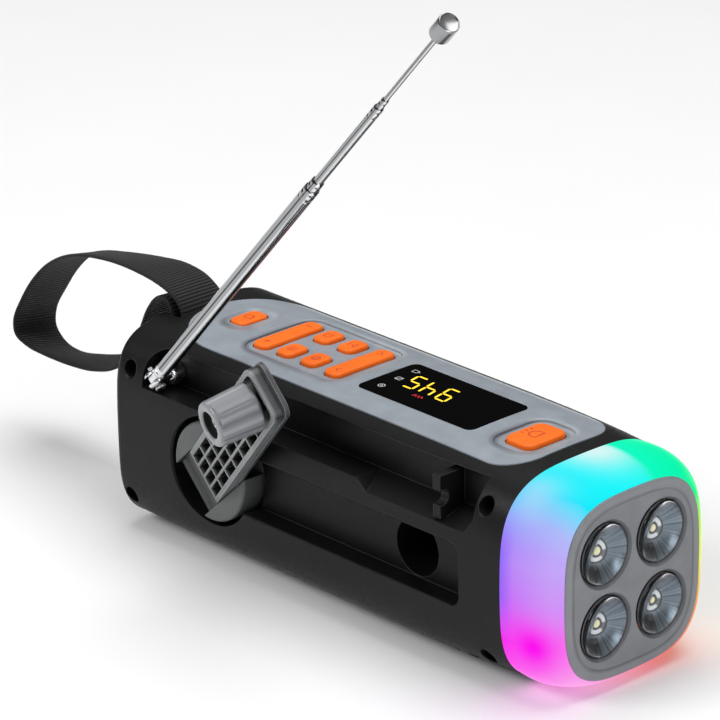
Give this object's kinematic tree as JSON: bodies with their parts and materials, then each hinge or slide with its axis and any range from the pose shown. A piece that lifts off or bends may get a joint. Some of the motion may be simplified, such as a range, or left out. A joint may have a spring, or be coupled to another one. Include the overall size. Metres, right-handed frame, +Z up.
{
  "type": "emergency radio",
  "caption": "Handheld emergency radio with a folding hand crank, telescopic antenna, top key panel with display, glowing ring round a multi-lens lamp, and a wrist strap.",
  "frame": {"origin": "centre of the base cover's underside, where the radio stands", "axes": "+X towards the lamp, +Y away from the crank side, +Z up"},
  "size_m": [0.3024, 0.1154, 0.2386],
  "materials": {
    "shell_black": "fine moulded texture",
    "rubber_black": "matt",
    "panel_grey": "satin",
    "lamp_grey": "satin",
    "crank_grey": "satin",
    "button_orange": "satin",
    "window_black": "polished",
    "ring_white": "translucent, smooth",
    "lens_clear": "polished",
    "reflector": "mirror plated",
    "led_yellow": "glossy",
    "board_green": "solder mask",
    "led_white": "glossy",
    "gear_nylon": "waxy",
    "steel": "brushed",
    "screw_black": "blackened",
    "antenna_chrome": "polished plating",
    "webbing_black": "ribbed weave",
    "cell_sleeve": "sleeved",
    "tray_black": "matt",
    "solar_blue": "clear resin over dark cells",
    "grille_black": "powder coated",
    "speaker_grey": "matt",
    "copper": "wound wire",
    "flap_grey": "matt"
  },
  "bodies": {
    "radio": {"base_cover": "rubber_black", "battery_cells": "cell_sleeve", "battery_tray": "tray_black", "button_board": "board_green", "charging_sockets": "steel", "display_module": "tray_black", "display_window": "window_black", "gear_plate": "tray_black", "generator_stator": "copper", "housing_screws": "screw_black", "lamp_bezel": "lamp_grey", "lamp_board": "board_green", "lamp_leds": "led_yellow", "lamp_lenses": "lens_clear", "lamp_reflectors": "reflector", "left_shell": "shell_black", "light_ring": "ring_white", "main_board": "board_green", "right_shell": "shell_black", "ring_board": "board_green", "ring_lights": "led_white", "solar_panel": "solar_blue", "speaker": "speaker_grey", "speaker_grille": "grille_black", "strap_bar": "steel", "top_panel": "panel_grey", "wrist_strap": "webbing_black"},
    "crank": {"crank_hub": "crank_grey", "crank_hinge_pin": "steel", "crank_shaft": "steel", "crank_gear": "gear_nylon"},
    "crank_arm": {"crank_arm": "crank_grey", "crank_arm_cover": "crank_grey", "knob_screw": "steel"},
    "knob": {"crank_knob": "crank_grey"},
    "idler": {"idler_gear": "gear_nylon"},
    "rotor": {"generator_rotor": "steel"},
    "antenna_stud": {"antenna_stud": "antenna_chrome", "antenna_nut": "steel", "antenna_screw": "steel"},
    "antenna_1": {"antenna_tube_1": "antenna_chrome"},
    "antenna_2": {"antenna_tube_2": "antenna_chrome"},
    "antenna_3": {"antenna_tube_3": "antenna_chrome"},
    "antenna_4": {"antenna_tube_4": "antenna_chrome"},
    "antenna_5": {"antenna_rod": "antenna_chrome", "antenna_tip": "antenna_chrome"},
    "power_key": {"power_button": "button_orange"},
    "volume_key": {"volume_rocker": "button_orange"},
    "mode_key": {"mode_button": "button_orange"},
    "memory_key": {"memory_button": "button_orange"},
    "alarm_key": {"alarm_button": "button_orange"},
    "play_key": {"play_button": "button_orange"},
    "tuning_key": {"tuning_rocker": "button_orange"},
    "lamp_key": {"lamp_button": "button_orange"},
    "port_flap": {"port_cover": "flap_grey"}
  },
  "joints": [
    {"name": "crank_spin", "type": "hinge", "parent": "radio", "child": "crank", "pos_m": [-0.0575, 0, 0.0353], "axis": [0, 1, 0], "continuous": true},
    {"name": "crank_fold", "type": "hinge", "parent": "crank", "child": "crank_arm", "pos_m": [-0.06629, -0.033, 0.02713], "axis": [0.6807, 0, -0.7325], "range_deg": [0, 100]},
    {"name": "knob_spin", "type": "hinge", "parent": "crank_arm", "child": "knob", "pos_m": [-0.00843, -0.05715, 0.0809], "axis": [-0.2142, -0.9563, -0.199], "continuous": true},
    {"name": "idler_spin", "type": "hinge", "parent": "radio", "child": "idler", "pos_m": [-0.0335, 0, 0.0353], "axis": [0, 1, 0], "continuous": true},
    {"name": "rotor_spin", "type": "hinge", "parent": "radio", "child": "rotor", "pos_m": [-0.0111, 0, 0.0353], "axis": [0, 1, 0], "continuous": true},
    {"name": "antenna_swivel", "type": "hinge", "parent": "radio", "child": "antenna_stud", "pos_m": [-0.0865, -0.036, 0.0607], "axis": [0, -1, 0], "range_deg": [-29, 60]},
    {"name": "antenna_tilt", "type": "hinge", "parent": "antenna_stud", "child": "antenna_1", "pos_m": [-0.0865, -0.036, 0.0607], "axis": [0.6972, 0, -0.7169], "range_deg": [-7.2, 75]},
    {"name": "antenna_slide_2", "type": "slide", "parent": "antenna_1", "child": "antenna_2", "axis": [0.7113, -0.1253, 0.6917], "range_m": [-0.005, 0.09]},
    {"name": "antenna_slide_3", "type": "slide", "parent": "antenna_2", "child": "antenna_3", "axis": [0.7113, -0.1253, 0.6917], "range_m": [-0.05, 0.03]},
    {"name": "antenna_slide_4", "type": "slide", "parent": "antenna_3", "child": "antenna_4", "axis": [0.7113, -0.1253, 0.6917], "range_m": [-0.005, 0.06]},
    {"name": "antenna_slide_5", "type": "slide", "parent": "antenna_4", "child": "antenna_5", "axis": [0.7113, -0.1253, 0.6917], "range_m": [-0.04, 0.025]},
    {"name": "port_cover_hinge", "type": "hinge", "parent": "radio", "child": "port_flap", "pos_m": [-0.1079, 0, 0.0213], "axis": [0, -1, 0], "range_deg": [0, 110]},
    {"name": "power_press", "type": "slide", "parent": "radio", "child": "power_key", "axis": [0, 0, 1], "range_m": [-0.0008, 0], "stiffness_N_per_m": 400},
    {"name": "mode_press", "type": "slide", "parent": "radio", "child": "mode_key", "axis": [0, 0, 1], "range_m": [-0.0008, 0], "stiffness_N_per_m": 400},
    {"name": "memory_press", "type": "slide", "parent": "radio", "child": "memory_key", "axis": [0, 0, 1], "range_m": [-0.0008, 0], "stiffness_N_per_m": 400},
    {"name": "alarm_press", "type": "slide", "parent": "radio", "child": "alarm_key", "axis": [0, 0, 1], "range_m": [-0.0008, 0], "stiffness_N_per_m": 400},
    {"name": "play_press", "type": "slide", "parent": "radio", "child": "play_key", "axis": [0, 0, 1], "range_m": [-0.0008, 0], "stiffness_N_per_m": 400},
    {"name": "lamp_press", "type": "slide", "parent": "radio", "child": "lamp_key", "axis": [0, 0, 1], "range_m": [-0.0008, 0], "stiffness_N_per_m": 400},
    {"name": "volume_rock", "type": "hinge", "parent": "radio", "child": "volume_key", "pos_m": [-0.0582, 0, 0.0675], "axis": [1, 0, 0], "range_deg": [-1.5, 1.5], "stiffness_Nm_per_rad": 0.05},
    {"name": "tuning_rock", "type": "hinge", "parent": "radio", "child": "tuning_key", "pos_m": [-0.0224, 0, 0.0675], "axis": [1, 0, 0], "range_deg": [-1.5, 1.5], "stiffness_Nm_per_rad": 0.05}
  ],
  "couplings": [
    {"joint": "idler_spin", "follows": "crank_spin", "ratio": -3},
    {"joint": "rotor_spin", "follows": "crank_spin", "ratio": 9}
  ]
}
